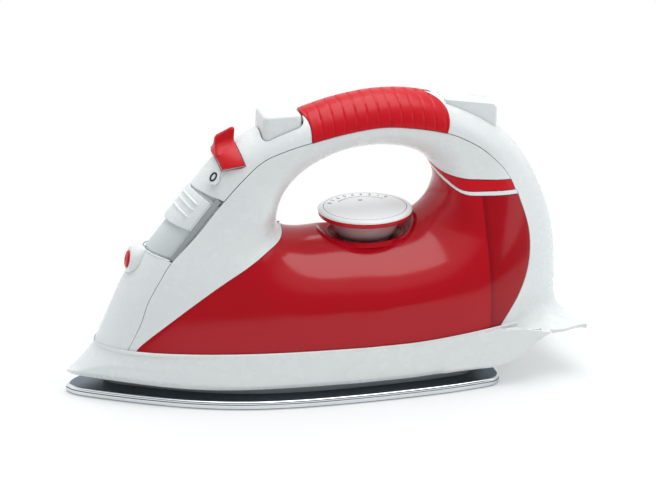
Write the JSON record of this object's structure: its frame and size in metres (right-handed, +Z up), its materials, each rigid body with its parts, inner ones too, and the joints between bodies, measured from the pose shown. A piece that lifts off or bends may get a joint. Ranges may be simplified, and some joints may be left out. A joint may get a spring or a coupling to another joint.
{
  "type": "toy iron",
  "caption": "Toy steam iron with a clear tank, a ribbed grip, a turning dial, a steam lever, a filler slide and a spray button that springs back.",
  "frame": {"origin": "middle of the length and of the width, on the face the sole plate rests on", "axes": "+X towards the heel, -X towards the nose, +Y to the iron's right side seen from the heel, +Z up"},
  "size_m": [0.1989, 0.0766, 0.1113],
  "materials": {
    "white_plastic": "semi-gloss moulded",
    "red_plastic": "satin moulded",
    "tank_plastic": "clear red, polished",
    "dial_plastic": "clear, tinted pink",
    "sole_metal": "polished",
    "steel": "bright zinc",
    "grey_plastic": "fine matt"
  },
  "bodies": {
    "housing": {"sole_plate": "sole_metal", "base_plate": "grey_plastic", "skirt": "white_plastic", "tank_shell": "tank_plastic", "tank_floor": "tank_plastic", "tank_wall_rear": "tank_plastic", "tank_wall_front": "tank_plastic", "casing_left": "white_plastic", "casing_right": "white_plastic", "nose_cover": "white_plastic", "neck_cover": "white_plastic", "rear_cover": "white_plastic", "heel_plate": "white_plastic", "grip": "red_plastic", "pillar_band": "red_plastic", "pillar_trim": "white_plastic", "cord_outlet": "white_plastic", "spray_nozzle": "white_plastic", "nozzle_tip": "red_plastic", "slide_track": "grey_plastic", "filler_tube": "grey_plastic", "lever_cradle": "white_plastic", "lever_axle": "steel", "scale_pad": "white_plastic", "pump_cylinder": "grey_plastic", "return_spring": "steel", "suction_tube": "grey_plastic", "spray_tube": "grey_plastic", "dial_collar": "grey_plastic", "click_spring": "steel", "base_screws": "steel"},
    "lever": {"steam_lever": "red_plastic"},
    "slide": {"filler_slide": "white_plastic"},
    "button": {"spray_button": "white_plastic", "pump_plunger": "grey_plastic"},
    "dial": {"dial_face": "white_plastic", "dial_ring": "red_plastic", "dial_cup": "dial_plastic", "dial_ratchet": "grey_plastic"}
  },
  "joints": [
    {"name": "lever_swing", "type": "hinge", "parent": "housing", "child": "lever", "pos_m": [-0.033, 0, 0.081], "axis": [0.9511, 0, 0.309], "range_deg": [-14, 14]},
    {"name": "filler_slide", "type": "slide", "parent": "housing", "child": "slide", "axis": [-0.6361, 0, -0.7716], "range_m": [0, 0.0135]},
    {"name": "button_press", "type": "slide", "parent": "housing", "child": "button", "axis": [0, 0, -1], "range_m": [0, 0.004], "stiffness_N_per_m": 300, "springref_m": -0.002, "deforming": ["return_spring"]},
    {"name": "dial_turn", "type": "hinge", "parent": "housing", "child": "dial", "pos_m": [0.0181, 0, 0.06], "axis": [0, 0, 1], "continuous": true}
  ]
}
